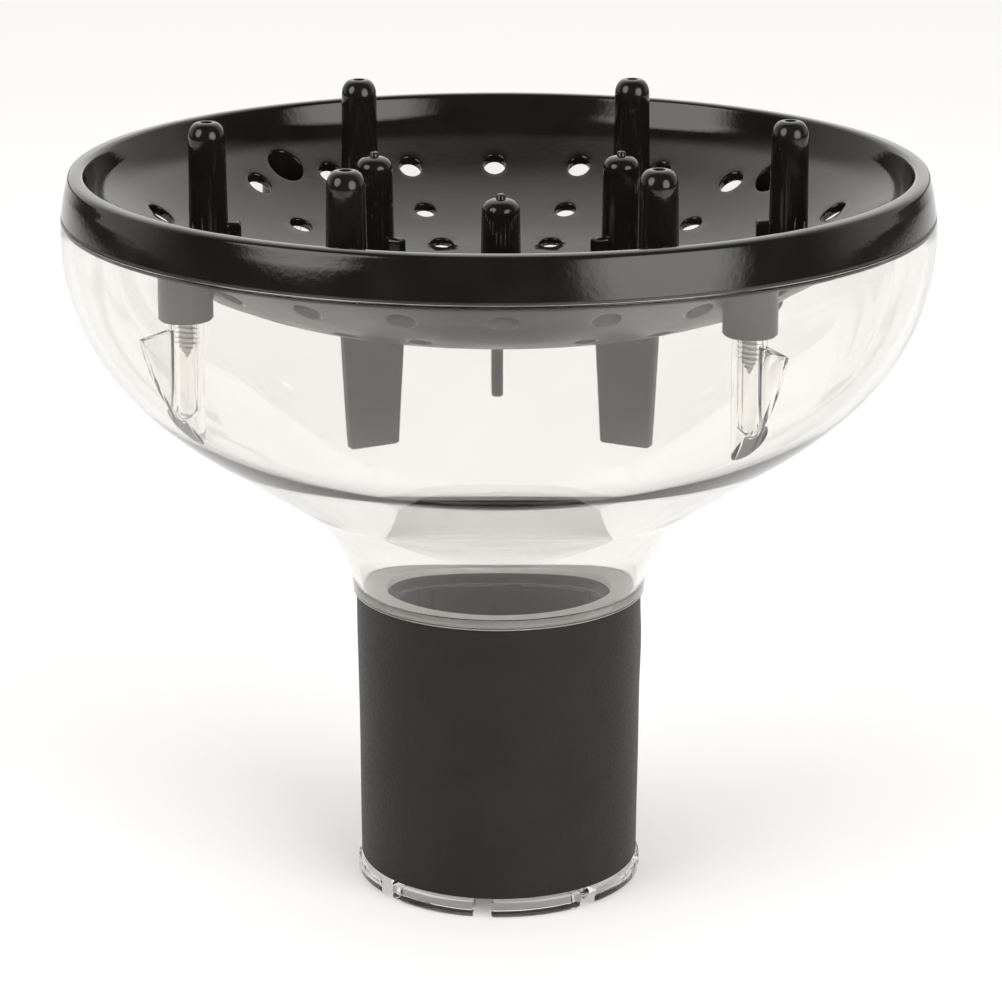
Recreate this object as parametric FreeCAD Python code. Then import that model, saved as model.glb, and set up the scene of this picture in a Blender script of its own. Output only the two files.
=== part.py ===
import FreeCAD, Part
import math
import os

# Universal push-on diffuser for a hair dryer.
# Millimetres. +Z is the air's way, from the dryer's barrel to the hair.
# The origin is on the axis, in the plane of the collet lips that it stands on.

# Heights
LIP_TOP_Z = 3.4            # top of the collet fingers' lips
SLEEVE_BOTTOM_Z = 3.8
FINGER_ROOT_Z = 54.0       # where the collet fingers bend
SPIGOT_BOTTOM_Z = 54.3
SLEEVE_TOP_Z = 58.5
LEDGE_BOTTOM_Z = 58.2      # the barrel stops here
LEDGE_TOP_Z = 60.2
RIM_Z = 133.8              # lower edge of the plate's rim, top edge of the bell
LONG_PRONG_TOP_Z = 150.2
SHORT_PRONG_TOP_Z = 141.9

# Collet and sleeve
BARREL_R = 23.2
SPIGOT_R = 25.9
SLEEVE_BORE_R = 26.0
SLEEVE_TOP_R = 27.7
SLEEVE_BOTTOM_R = 27.3
SLEEVE_EDGE_ROUND = 0.5
FINGER_COUNT = 8
FINGER_ROOT_R = 25.7
FINGER_TIP_R = 24.6
LIP_R = 27.9
LIP_CHAMFER = 0.8
SLOT_WIDTH = 3.5
SLOT_PHASE = 37.5          # degrees, in line with the screw posts

# Bell
WALL = 2.0
BELL_TOP_R = 82.5
BELL_TOP_HEADING = -85.0   # degrees from +X, downwards and a little outwards
BOWL_SHOULDER = (42.4, -50.0)    # radius and turn
BOWL_UNDERSIDE = (79.0, -11.0)
BOWL_UNDERSIDE_INSIDE = (58.0, -11.0)    # tighter, so the wall thickens towards the neck
NECK_FLARE = (28.3, 46.0)
NECK_R = 28.4
LEDGE_R = 21.7
TONGUE_IN_R = 79.1         # the tongue locates the plate's rim
TONGUE_OUT_R = 79.8
TONGUE_HEIGHT = 2.0
TONGUE_ROOT_HEIGHT = 1.0   # the step that carries the tongue

# Screws, their wells, bosses and posts
SCREW_COUNT = 4
SCREW_CIRCLE_R = 70.5
SCREW_PHASE = 37.5
WELL_R = 3.5
BOSS_R = 4.8
BOSS_BOTTOM_Z = 122.5
SEAT_Z = 125.0             # the screw heads sit here
SHANK_HOLE_R = 1.9
POST_R = 3.15
POST_BORE_R = 1.45
POST_BORE_BOTTOM_Z = 105.0
POST_FOOT_Z = 93.0         # below the bell's wall, which trims the post
GUSSET_THICKNESS = 1.5
GUSSET_TOP_Z = 121.6
GUSSET_EDGE_Z = 120.0
HEAD_R = 3.1
HEAD_HEIGHT = 2.2
HEAD_ROUND = 1.2
RECESS_LENGTH = 3.6        # the cross recess in the head
RECESS_WIDTH = 0.9
RECESS_DEPTH = 1.3
SHANK_R = 1.4
SCREW_POINT_Z = 115.6
POINT_LENGTH = 2.2
POINT_R = 0.1

# Plate
SKIN = 1.6
RIM_R = 82.5
RIM_BAND = 2.0
RIM_TOP_ROUND = 1.1
RIM_BAND_LEAN = 11.0       # degrees from upright
RIM_WALL_LEAN = 15.0
GROOVE_TOP_Z = 138.5       # the groove under the rim takes the bell's tongue
CREASE_R = 76.45           # where the rim's inner wall would meet the dish's slope
CREASE_Z = 135.56
CREASE_ROUND = 8.0
DISH_HEADING = 216.0       # degrees, inwards and down from the crease
DISH_SLOPE = 10.07
DISH_BOWL = (67.0, -24.0)
DISH_LOW_Z = 108.0         # below the whole dish

# Prongs
LONG_PRONG_COUNT = 6
LONG_PRONG_CIRCLE_R = 55.0
SHORT_PRONG_COUNT = 3
SHORT_PRONG_CIRCLE_R = 27.5
SHORT_PRONG_PHASE = 30.0
PRONG_BASE_R = 4.1
PRONG_SHOULDER_R = 3.5
SHOULDER_DROP = 3.2
OPEN_TIP_R = 1.5           # the long prongs end flat, with a dimple
OPEN_TIP_BULGE = (2.9, 1.1)      # radius and drop at the middle of the round
DIMPLE_R = 1.0
DIMPLE_DEPTH = 0.7
NUB_R = 0.9                # the short prongs end in a small nub
NUB_TOP_R = 0.35
NUB_HEIGHT = 0.9
NUB_BULGE = (2.8, 1.6)
CORE_BASE_R = 2.4
CORE_TOP_R = 1.8
CORE_DROP = 4.0
RIB_WIDTH = 2.5            # a rib stands against each prong, towards the plate's centre
RIB_REACH = 6.2
LONG_RIB_TOP_Z = 131.2
SHORT_RIB_TOP_Z = 125.6

# Air holes: count, circle radius, first angle, hole radius
OUTER_HOLES = (24, 67.6, 0.0, 2.3)
MIDDLE_HOLES = (12, 55.4, 15.0, 2.1)
INNER_HOLES = (12, 42.3, 15.0, 2.1)

# Air fins under the plate
FIN_COUNT = 3
FIN_PHASE = 90.0
FIN_THICKNESS = 2.3
FIN_BOTTOM_Z = 89.8
FIN_TOP_Z = 121.6          # the dish trims the fins below this
FIN_TOP_SPAN = (20.5, 34.3)
FIN_BOTTOM_SPAN = (22.5, 32.9)

AXIS = FreeCAD.Vector(0, 0, 1)
CENTRE = FreeCAD.Vector(0, 0, 0)
PAST = 1.0                 # how far a cutter runs past the face it opens
SAME = 0.01                # two places closer than this are the same


def at(radius, z, y=0.0):
    return FreeCAD.Vector(radius, y, z)


def turned(shape, angle):
    """A copy of a shape, turned about the object's axis."""
    copy = shape.copy()
    copy.rotate(CENTRE, AXIS, angle)
    return copy


def even_angles(count, phase):
    return [phase + 360.0 * i / count for i in range(count)]


def step_end(start, heading, step):
    """The point and heading at the end of one step of a path in the XZ plane."""
    length, turn = step
    a = math.radians(heading)
    if turn == 0:
        return start + at(length * math.cos(a), length * math.sin(a)), heading
    b = math.radians(heading + turn)
    side = math.copysign(length, turn)
    move = at(side * (math.sin(b) - math.sin(a)), side * (math.cos(a) - math.cos(b)))
    return start + move, heading + turn


def tangent_path(start, heading, steps):
    """Edges that run on from each other: (length, 0) is straight, (radius, turn) is an arc."""
    edges = []
    for length, turn in steps:
        end, new_heading = step_end(start, heading, (length, turn))
        if turn == 0:
            edges.append(Part.LineSegment(start, end).toShape())
        else:
            middle, _ = step_end(start, heading, (length, turn / 2))
            edges.append(Part.Arc(start, middle, end).toShape())
        start, heading = end, new_heading
    return edges, start


def beside(start, heading, steps, gap):
    """The start and steps of the path that runs parallel, gap to the left."""
    a = math.radians(heading)
    moved = start + at(-gap * math.sin(a), gap * math.cos(a))
    moved_steps = [(s if t == 0 else s - gap * math.copysign(1, t), t) for s, t in steps]
    return moved, moved_steps


def lines(*points):
    return [Part.LineSegment(a, b).toShape() for a, b in zip(points, points[1:])]


def spun(edges):
    """A solid of revolution from a closed outline in the XZ plane."""
    wire = Part.Wire(Part.__sortEdges__(edges))
    return Part.Face(wire).revolve(CENTRE, AXIS, 360)


def spun_polygon(*points):
    corners = [at(r, z) for r, z in points]
    return spun(lines(*corners, corners[0]))


def pillar(radius, x, bottom, top, top_radius=None):
    """An upright round bar, or a cone when its top radius differs."""
    if top_radius is None:
        return Part.makeCylinder(radius, top - bottom, at(x, bottom))
    return Part.makeCone(radius, top_radius, top - bottom, at(x, bottom))


def radial_plate(outline, thickness):
    """A flat plate in the XZ plane, centred on it."""
    corners = [at(r, z, -thickness / 2) for r, z in outline]
    face = Part.Face(Part.makePolygon(corners + corners[:1]))
    return face.extrude(FreeCAD.Vector(0, thickness, 0))


def bell_path():
    """The bell's outer outline, from its top edge down to the neck."""
    start = at(BELL_TOP_R, RIM_Z)
    shoulder_end, heading = step_end(start, BELL_TOP_HEADING, BOWL_SHOULDER)
    bowl_end, heading = step_end(shoulder_end, heading, BOWL_UNDERSIDE)
    flare_end, _ = step_end(bowl_end, heading, NECK_FLARE)
    slant = (flare_end.x - NECK_R) / -math.cos(math.radians(heading))
    return start, BELL_TOP_HEADING, [BOWL_SHOULDER, BOWL_UNDERSIDE, (slant, 0), NECK_FLARE]


def bell_volume():
    """Everything inside the bell's outer face, above the neck's foot."""
    edges, end = tangent_path(*bell_path())
    start = at(BELL_TOP_R, RIM_Z)
    edges += lines(end, at(NECK_R, SLEEVE_TOP_Z), at(0, SLEEVE_TOP_Z), at(0, RIM_Z), start)
    return spun(edges)


def thickened(start, heading, steps):
    """The inner outline's steps with a tighter bowl, which still end at the neck's inner radius."""
    shoulder, _, _, flare = steps
    point, heading = step_end(start, heading, shoulder)
    point, heading = step_end(point, heading, BOWL_UNDERSIDE_INSIDE)
    flare_end, _ = step_end(point, heading, flare)
    slant = (flare_end.x - NECK_R + WALL) / -math.cos(math.radians(heading))
    return [shoulder, BOWL_UNDERSIDE_INSIDE, (slant, 0), flare]


def bell_shell():
    start, heading, steps = bell_path()
    outer, outer_end = tangent_path(start, heading, steps)
    in_start, in_steps = beside(start, heading, steps, -WALL)
    in_steps = thickened(in_start, heading, in_steps)
    inner, inner_end = tangent_path(in_start, heading, in_steps)
    foot = lines(
        outer_end,
        at(NECK_R, SLEEVE_TOP_Z),
        at(SPIGOT_R, SLEEVE_TOP_Z),
        at(SPIGOT_R, SPIGOT_BOTTOM_Z),
        at(BARREL_R, SPIGOT_BOTTOM_Z),
        at(BARREL_R, LEDGE_BOTTOM_Z),
        at(LEDGE_R, LEDGE_BOTTOM_Z),
        at(LEDGE_R, LEDGE_TOP_Z),
        at(NECK_R - WALL, LEDGE_TOP_Z),
        inner_end,
    )
    edge = lines(in_start, at(in_start.x, RIM_Z), start)
    return spun(outer + foot + inner + edge)


def locating_tongue():
    """A thin ring on a step inside the bell's top edge, which stands up into the rim's groove."""
    foot_z = RIM_Z - TONGUE_ROOT_HEIGHT
    wall_r = BELL_TOP_R - WALL / 2
    return spun_polygon(
        (TONGUE_OUT_R, RIM_Z + TONGUE_HEIGHT),
        (TONGUE_IN_R, RIM_Z + TONGUE_HEIGHT),
        (TONGUE_IN_R, foot_z),
        (wall_r, foot_z),
        (wall_r, RIM_Z),
        (TONGUE_OUT_R, RIM_Z),
    )


def screw_post():
    """A clear tube under a boss, with a gusset out to the bell's wall."""
    post = pillar(POST_R, SCREW_CIRCLE_R, POST_FOOT_Z, BOSS_BOTTOM_Z)
    gusset = radial_plate(
        [
            (SCREW_CIRCLE_R, GUSSET_TOP_Z),
            (BELL_TOP_R, GUSSET_EDGE_Z),
            (BELL_TOP_R, POST_FOOT_Z),
            (SCREW_CIRCLE_R, POST_FOOT_Z),
        ],
        GUSSET_THICKNESS,
    )
    return post.fuse(gusset)


def post_bore():
    return pillar(POST_BORE_R, SCREW_CIRCLE_R, POST_BORE_BOTTOM_Z, BOSS_BOTTOM_Z + PAST)


def clear_bell():
    angles = even_angles(SCREW_COUNT, SCREW_PHASE)
    posts = Part.Compound([turned(screw_post(), a) for a in angles])
    bores = Part.Compound([turned(post_bore(), a) for a in angles])
    bell = bell_shell().fuse([locating_tongue(), posts.common(bell_volume())])
    return bell.cut(bores).removeSplitter()


def dish_path():
    """The plate's upper face, from the rim's inner wall to the axis, where it is level."""
    wall_heading = 270.0 - RIM_WALL_LEAN
    turn = DISH_HEADING - wall_heading
    reach = CREASE_ROUND * math.tan(math.radians(-turn / 2))
    lean = math.radians(RIM_WALL_LEAN)
    start = at(CREASE_R + reach * math.sin(lean), CREASE_Z + reach * math.cos(lean))
    steps = [(CREASE_ROUND, turn), (DISH_SLOPE - reach, 0), DISH_BOWL]
    point, heading = start, wall_heading
    for step in steps:
        point, heading = step_end(point, heading, step)
    turn = 180.0 - heading
    return start, wall_heading, steps + [(point.x / math.sin(math.radians(-turn)), turn)]


def dish_face(gap=0.0):
    """The edges of a face of the dish, gap below its upper face, with their two end points."""
    start, heading, steps = dish_path()
    start, steps = beside(start, heading, steps, gap)
    edges, end = tangent_path(start, heading, steps)
    return edges, start, end


def dish_space(gap, level):
    """The space between a face of the dish and a level plane over or under it."""
    edges, start, end = dish_face(gap)
    return spun(edges + lines(end, at(0, level), at(start.x, level), start))


def plate_shell():
    """The rim and the dish, with a groove under the rim for the bell's tongue."""
    band_lean = math.tan(math.radians(RIM_BAND_LEAN))
    wall_lean = math.tan(math.radians(RIM_WALL_LEAN))
    apex_z = (RIM_R - CREASE_R + band_lean * RIM_Z + wall_lean * CREASE_Z) / (band_lean + wall_lean)
    apex_r = RIM_R - band_lean * (apex_z - RIM_Z)
    reach = RIM_TOP_ROUND / math.tan(math.radians((RIM_BAND_LEAN + RIM_WALL_LEAN) / 2))
    band_lean_rad = math.radians(RIM_BAND_LEAN)
    band_top = at(apex_r + reach * math.sin(band_lean_rad), apex_z - reach * math.cos(band_lean_rad))
    rim_foot = at(RIM_R, RIM_Z)
    top_turn = 180.0 - RIM_BAND_LEAN - RIM_WALL_LEAN
    top_round, wall_top = tangent_path(band_top, 90.0 + RIM_BAND_LEAN, [(RIM_TOP_ROUND, top_turn)])

    upper, start, upper_end = dish_face()
    lower, low_start, lower_end = dish_face(SKIN)

    band_in_r = RIM_R - RIM_BAND
    back_r = CREASE_R + SKIN / math.cos(math.radians(RIM_WALL_LEAN))
    underside = lines(
        low_start,
        at(back_r + wall_lean * (GROOVE_TOP_Z - CREASE_Z), GROOVE_TOP_Z),
        at(band_in_r - band_lean * (GROOVE_TOP_Z - RIM_Z), GROOVE_TOP_Z),
        at(band_in_r, RIM_Z),
        rim_foot,
    )
    rim = lines(rim_foot, band_top) + top_round + lines(wall_top, start)
    return spun(rim + upper + lines(upper_end, lower_end) + lower + underside)


def prong(tip_z, bulge, tip):
    """A tapered prong. Its rounded shoulder bulges to a radius and drop, and runs into the tip's points."""
    shoulder = at(PRONG_SHOULDER_R, tip_z - SHOULDER_DROP)
    tip_points = [at(r, tip_z - drop) for r, drop in tip]
    round_middle = at(bulge[0], tip_z - bulge[1])
    shoulder_round = Part.Arc(shoulder, round_middle, tip_points[0]).toShape()
    body = lines(at(0, DISH_LOW_Z), at(PRONG_BASE_R, DISH_LOW_Z), shoulder)
    return spun(body + [shoulder_round] + lines(*tip_points, at(0, DISH_LOW_Z)))


def long_prong():
    tip = [(OPEN_TIP_R, 0), (DIMPLE_R, 0), (DIMPLE_R, DIMPLE_DEPTH), (0, DIMPLE_DEPTH)]
    body = prong(LONG_PRONG_TOP_Z, OPEN_TIP_BULGE, tip)
    return with_rib(body, LONG_PRONG_CIRCLE_R, LONG_RIB_TOP_Z)


def short_prong():
    tip = [(NUB_R, NUB_HEIGHT), (NUB_TOP_R, 0), (0, 0)]
    body = prong(SHORT_PRONG_TOP_Z, NUB_BULGE, tip)
    return with_rib(body, SHORT_PRONG_CIRCLE_R, SHORT_RIB_TOP_Z)


def with_rib(body, circle_r, rib_top_z):
    """A prong in its place, with its rib towards the plate's centre."""
    body.translate(at(circle_r, 0))
    rib = Part.makeBox(
        RIB_REACH, RIB_WIDTH, rib_top_z - DISH_LOW_Z,
        at(circle_r - RIB_REACH, DISH_LOW_Z, -RIB_WIDTH / 2),
    )
    return body.fuse(rib)


def prong_core(circle_r, tip_z):
    return pillar(CORE_BASE_R, circle_r, DISH_LOW_Z, tip_z - CORE_DROP, CORE_TOP_R)


def boss():
    """The round boss under the dish, cut off level with the dish's face by the well above it."""
    return pillar(BOSS_R, SCREW_CIRCLE_R, BOSS_BOTTOM_Z, CREASE_Z)


def well():
    bore = pillar(WELL_R, SCREW_CIRCLE_R, SEAT_Z, LONG_PRONG_TOP_Z)
    return bore.fuse(pillar(SHANK_HOLE_R, SCREW_CIRCLE_R, BOSS_BOTTOM_Z - PAST, SEAT_Z + PAST))


def air_fin():
    outline = [
        (FIN_TOP_SPAN[0], FIN_TOP_Z),
        (FIN_TOP_SPAN[1], FIN_TOP_Z),
        (FIN_BOTTOM_SPAN[1], FIN_BOTTOM_Z),
        (FIN_BOTTOM_SPAN[0], FIN_BOTTOM_Z),
    ]
    return radial_plate(outline, FIN_THICKNESS)


def air_holes():
    cutters = []
    for count, circle_r, phase, hole_r in (OUTER_HOLES, MIDDLE_HOLES, INNER_HOLES):
        hole = pillar(hole_r, circle_r, DISH_LOW_Z, CREASE_Z + PAST)
        cutters += [turned(hole, a) for a in even_angles(count, phase)]
    return cutters


def finger_plate():
    screw_angles = even_angles(SCREW_COUNT, SCREW_PHASE)
    fin_angles = even_angles(FIN_COUNT, FIN_PHASE)
    long_core = prong_core(LONG_PRONG_CIRCLE_R, LONG_PRONG_TOP_Z)
    short_core = prong_core(SHORT_PRONG_CIRCLE_R, SHORT_PRONG_TOP_Z)
    long_angles = even_angles(LONG_PRONG_COUNT, 0)
    short_angles = even_angles(SHORT_PRONG_COUNT, SHORT_PRONG_PHASE)

    hanging = [turned(boss(), a) for a in screw_angles]
    hanging += [turned(air_fin(), a) for a in fin_angles]
    standing = [turned(long_prong(), a) for a in long_angles]
    standing += [turned(short_prong(), a) for a in short_angles]
    added = [Part.Compound(hanging).cut(dish_space(0, LONG_PRONG_TOP_Z))]
    added += [Part.Compound(standing).cut(dish_space(SKIN, FIN_BOTTOM_Z))]
    removed = air_holes()
    removed += [turned(well(), a) for a in screw_angles]
    removed += [turned(long_core, a) for a in long_angles]
    removed += [turned(short_core, a) for a in short_angles]
    plate = plate_shell().fuse(added)
    return plate.cut(removed).removeSplitter()


def is_flat(edge):
    return edge.BoundBox.ZLength < SAME


def rubber_sleeve():
    sleeve = spun_polygon(
        (SLEEVE_BORE_R, SLEEVE_BOTTOM_Z),
        (SLEEVE_BOTTOM_R, SLEEVE_BOTTOM_Z),
        (SLEEVE_TOP_R, SLEEVE_TOP_Z),
        (SLEEVE_BORE_R, SLEEVE_TOP_Z),
    )
    outer_edges = [
        e for e in sleeve.Edges
        if is_flat(e) and e.BoundBox.XMax > SLEEVE_BOTTOM_R - SAME
    ]
    return sleeve.makeFillet(SLEEVE_EDGE_ROUND, outer_edges)


def plate_screws():
    """Pan-head self-tapping screws with a cross recess, at their core diameter."""
    head = pillar(HEAD_R, SCREW_CIRCLE_R, SEAT_Z, SEAT_Z + HEAD_HEIGHT)
    rims = [e for e in head.Edges if e.BoundBox.ZMin > SEAT_Z + HEAD_HEIGHT - SAME]
    head = head.makeFillet(HEAD_ROUND, rims)
    shank = pillar(SHANK_R, SCREW_CIRCLE_R, SCREW_POINT_Z + POINT_LENGTH, SEAT_Z)
    point = pillar(POINT_R, SCREW_CIRCLE_R, SCREW_POINT_Z, SCREW_POINT_Z + POINT_LENGTH, SHANK_R)
    recess_z = SEAT_Z + HEAD_HEIGHT - RECESS_DEPTH
    recess = [
        Part.makeBox(x, y, HEAD_HEIGHT, at(SCREW_CIRCLE_R - x / 2, recess_z, -y / 2))
        for x, y in ((RECESS_LENGTH, RECESS_WIDTH), (RECESS_WIDTH, RECESS_LENGTH))
    ]
    screw = head.fuse([shank, point]).cut(recess).removeSplitter()
    return Part.Compound([turned(screw, a) for a in even_angles(SCREW_COUNT, SCREW_PHASE)])


def collet_fingers():
    """The slotted lower part of the neck, finger by finger."""
    collet = spun_polygon(
        (BARREL_R, LIP_CHAMFER),
        (BARREL_R + LIP_CHAMFER, 0),
        (LIP_R - LIP_CHAMFER, 0),
        (LIP_R, LIP_CHAMFER),
        (LIP_R, LIP_TOP_Z),
        (FINGER_TIP_R, LIP_TOP_Z),
        (FINGER_ROOT_R, FINGER_ROOT_Z),
        (BARREL_R, FINGER_ROOT_Z),
    )
    slot = Part.makeBox(
        LIP_R + PAST, SLOT_WIDTH, FINGER_ROOT_Z + 2 * PAST, at(0, -PAST, -SLOT_WIDTH / 2)
    )
    slots = [turned(slot, a) for a in even_angles(FINGER_COUNT, SLOT_PHASE)]
    pieces = collet.cut(slots).Solids

    def bearing(solid):
        middle = solid.CenterOfMass
        return (math.degrees(math.atan2(middle.y, middle.x)) - SLOT_PHASE) % 360.0

    return sorted(pieces, key=bearing)


def build():
    parts = {
        "clear_bell": clear_bell(),
        "finger_plate": finger_plate(),
        "rubber_sleeve": rubber_sleeve(),
        "plate_screws": plate_screws(),
    }
    for number, finger in enumerate(collet_fingers(), start=1):
        parts[f"collet_finger_{number}"] = finger
    os.makedirs("parts", exist_ok=True)
    for name, shape in parts.items():
        shape.exportStep(f"parts/{name}.step")
        box = shape.BoundBox
        print(
            f"{name}: {len(shape.Solids)} solid(s), valid {shape.isValid()},"
            f" {shape.Volume / 1000:.2f} cm3, z {box.ZMin:.2f} to {box.ZMax:.2f}"
        )


build()
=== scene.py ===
import math

import bmesh
import bpy
import numpy as np
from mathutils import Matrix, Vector
from mathutils.geometry import delaunay_2d_cdt


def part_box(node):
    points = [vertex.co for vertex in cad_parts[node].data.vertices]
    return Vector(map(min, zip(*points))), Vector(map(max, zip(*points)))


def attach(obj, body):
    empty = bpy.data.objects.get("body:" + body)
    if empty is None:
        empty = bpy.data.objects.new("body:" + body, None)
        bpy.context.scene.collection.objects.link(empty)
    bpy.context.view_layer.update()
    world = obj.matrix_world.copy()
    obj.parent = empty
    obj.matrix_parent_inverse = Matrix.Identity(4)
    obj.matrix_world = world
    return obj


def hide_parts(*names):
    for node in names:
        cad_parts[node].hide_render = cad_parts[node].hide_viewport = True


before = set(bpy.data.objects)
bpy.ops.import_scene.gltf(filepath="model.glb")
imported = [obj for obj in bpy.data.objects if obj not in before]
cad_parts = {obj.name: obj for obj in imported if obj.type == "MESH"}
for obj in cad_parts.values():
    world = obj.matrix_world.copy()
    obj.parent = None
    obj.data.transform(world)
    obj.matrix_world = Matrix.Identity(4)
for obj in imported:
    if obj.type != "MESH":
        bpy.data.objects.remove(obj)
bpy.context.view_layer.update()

# The looks of a push-on hair dryer diffuser: a black dish with prongs, a clear bell with a
# slotted collet, and a rubber sleeve. Millimetres, in the frame's axes, until a mesh is made.
MM = 0.001


def box_mm(node):
    low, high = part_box(node)
    return low / MM, high / MM


plate_low, plate_high = box_mm("finger_plate")
bell_low, bell_high = box_mm("clear_bell")
sleeve_low, sleeve_high = box_mm("rubber_sleeve")
finger_high_z = box_mm("collet_finger_1")[1].z
screws_low, screws_high = box_mm("plate_screws")

# Plate heights, down from the tips of its long prongs
LONG_TOP = plate_high.z
SHORT_TOP = LONG_TOP - 8.3
RIM_FOOT = LONG_TOP - 16.4       # also the bell's top edge
CREASE_Z = RIM_FOOT + 1.76
GROOVE_TOP = RIM_FOOT + 4.7
RIM_TOP = RIM_FOOT + 8.2
FIN_BOTTOM = plate_low.z

# Plate radii and slopes
RIM_R = plate_high.x - 0.01
BAND = 2.0
BAND_LEAN = 11.0                 # degrees from upright
BAND_BULGE = 0.12
WALL_LEAN = 15.0
CREASE_R = RIM_R - 6.05
CREASE_ROUND = 8.0
SKIN = 1.6
WALL_HEADING = 270.0 - WALL_LEAN
DISH_STEPS = ((CREASE_ROUND, -39.0), (7.24, 0), (67.0, -24.0), (206.1, -12.0))
TOP_SHEET_R = 74.9               # the triangulated sheets end here and the spun rim begins
LOW_SHEET_R = 76.5
EDGE = 0.35                      # rounding of the holes' edges

# Prongs: how many, circle radius, first angle, tip height, height of the rib's top
PRONG_RINGS = ((6, 55.0, 0.0, LONG_TOP, LONG_TOP - 19.0), (3, 27.5, 30.0, SHORT_TOP, SHORT_TOP - 16.3))
PRONG_BASE_R = 4.08
PRONG_BASE_Z = LONG_TOP - 42.2   # below the dish
PRONG_SHOULDER_R = 3.5
SHOULDER_DROP = 3.2
PRONG_FILLET = 0.6
CORE_RADII = (2.4, 1.8)
CORE_DROP = 4.0
RIB_REACH = 6.2
RIB_HALF_WIDTH = 1.25
RIB_ROUND = 0.9

# Air holes: how many, circle radius, first angle, hole radius
AIR_HOLES = ((24, 67.6, 0.0, 2.3), (12, 55.4, 15.0, 2.1), (12, 42.3, 15.0, 2.1))

# Fins under the plate: radii at the plate and at the foot
FIN_ANGLES = (90.0, 210.0, 330.0)
FIN_HALF = 1.15
FIN_TOP_SPAN = (20.5, 34.3)
FIN_FOOT_SPAN = (22.5, 32.9)
FIN_TOP = LONG_TOP - 28.6

# Screws, bosses and posts
SCREW_ANGLES = tuple(37.5 + 90.0 * i for i in range(4))
SCREW_CIRCLE = 70.5
WELL_R = 3.5
BOSS_R = 4.8
BOSS_FOOT = LONG_TOP - 27.7
SEAT_Z = LONG_TOP - 25.2
SHANK_HOLE_R = 1.9
POST_R = 3.15
POST_BORE_R = 1.45
POST_BORE_FOOT = LONG_TOP - 45.2
POST_LOW = POST_BORE_FOOT - 12.0
GUSSET_HALF = 0.75
GUSSET_TOPS = (LONG_TOP - 28.6, LONG_TOP - 30.2)
HEAD_R = 3.1
HEAD_HEIGHT = screws_high.z - SEAT_Z
CROSS_REACH = 1.9
THREAD_CORE_R = 1.15
THREAD_R = 1.55
THREAD_PITCH = 0.9
POINT_Z = screws_low.z

# Bell
BELL_WALL = 2.0
BELL_HEADING = -85.0
BELL_STEPS = ((42.4, -50.0), (79.0, -11.0), (21.85, 0), (28.3, 46.0))
INNER_UNDERSIDE = (64.0, -11.0)  # tighter inside, so the wall thickens towards the neck
TONGUE = (79.1, 79.8)
TONGUE_TOP = bell_high.z
FLANGE_Z = RIM_FOOT - 1.0        # foot of the step that carries the tongue
SLEEVE_TOP = sleeve_high.z
NECK_R = 28.4
SPIGOT_R = 25.9
SPIGOT_FOOT = bell_low.z
BARREL_R = 23.2
LEDGE_R = 21.7
LEDGE_LOW = SLEEVE_TOP - 0.3
LEDGE_TOP = SLEEVE_TOP + 1.7

# Collet and sleeve
SLOT_PHASE = 37.5
SLOT_WIDTH = 3.5
FINGER_COUNT = 8
FINGER_TOP = finger_high_z
FINGER_ROOT_R = 25.7
FINGER_TIP_R = 24.6
LIP_R = 27.9
LIP_TOP = 3.4
LIP_CHAMFER = 0.8
SLEEVE_FOOT = sleeve_low.z
SLEEVE_BORE_R = 26.0
SLEEVE_TOP_R = 27.7
SLEEVE_FOOT_R = 27.3

SEGMENTS = 288
HOLE_SEGMENTS = 40
CORE_SEGMENTS = 32
DOME_TURNS = (0, 0.4, 0.8, 1.2)  # radians up a small dome


# Paths in the (radius, height) plane


def step_end(start, heading, step):
    """The point and heading after one step: (length, 0) is straight, (radius, turn) is an arc."""
    length, turn = step
    a = math.radians(heading)
    if turn == 0:
        return (start[0] + length * math.cos(a), start[1] + length * math.sin(a)), heading
    b = math.radians(heading + turn)
    side = math.copysign(length, turn)
    across = side * (math.sin(b) - math.sin(a))
    up = side * (math.cos(a) - math.cos(b))
    return (start[0] + across, start[1] + up), heading + turn


def path(start, heading, steps, spacing=1.0):
    """Points along a run of steps, about evenly spaced."""
    points = [start]
    for length, turn in steps:
        run = length if turn == 0 else length * math.radians(abs(turn))
        count = max(2, math.ceil(run / spacing))
        for i in range(1, count + 1):
            share = i / count
            part = (length * share, 0) if turn == 0 else (length, turn * share)
            points.append(step_end(start, heading, part)[0])
        start, heading = step_end(start, heading, (length, turn))
    return points


def beside(start, heading, steps, gap):
    """The start and steps of the parallel path, gap to the left."""
    a = math.radians(heading)
    moved = (start[0] - gap * math.sin(a), start[1] + gap * math.cos(a))
    return moved, [(s if t == 0 else s - gap * math.copysign(1, t), t) for s, t in steps]


def rounded(corners):
    """The points of an open line through (r, z, rounding), with its inner corners rounded."""
    points = [Vector(corners[0][:2])]
    for before, corner, after in zip(corners, corners[1:], corners[2:]):
        middle, rounding = Vector(corner[:2]), corner[2]
        back = (Vector(before[:2]) - middle).normalized()
        on = (Vector(after[:2]) - middle).normalized()
        turn = math.pi - back.angle(on)
        if rounding == 0 or turn < 0.02:
            points.append(middle)
            continue
        reach = rounding * math.tan(turn / 2)
        start, end = middle + back * reach, middle + on * reach
        centre = middle + (back + on).normalized() * rounding / math.cos(turn / 2)
        points.append(start + back * 0.5 * rounding)
        count = max(3, math.ceil(math.degrees(turn) / 15))
        for i in range(count + 1):
            share = i / count
            leg = (start - centre) * math.sin(turn * (1 - share)) + (end - centre) * math.sin(turn * share)
            points.append(centre + leg / math.sin(turn) if turn < 3.1 else start.lerp(end, share))
        points.append(end + on * 0.5 * rounding)
    points.append(Vector(corners[-1][:2]))
    return [(p.x, p.y) for p in points]


# Meshes


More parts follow.
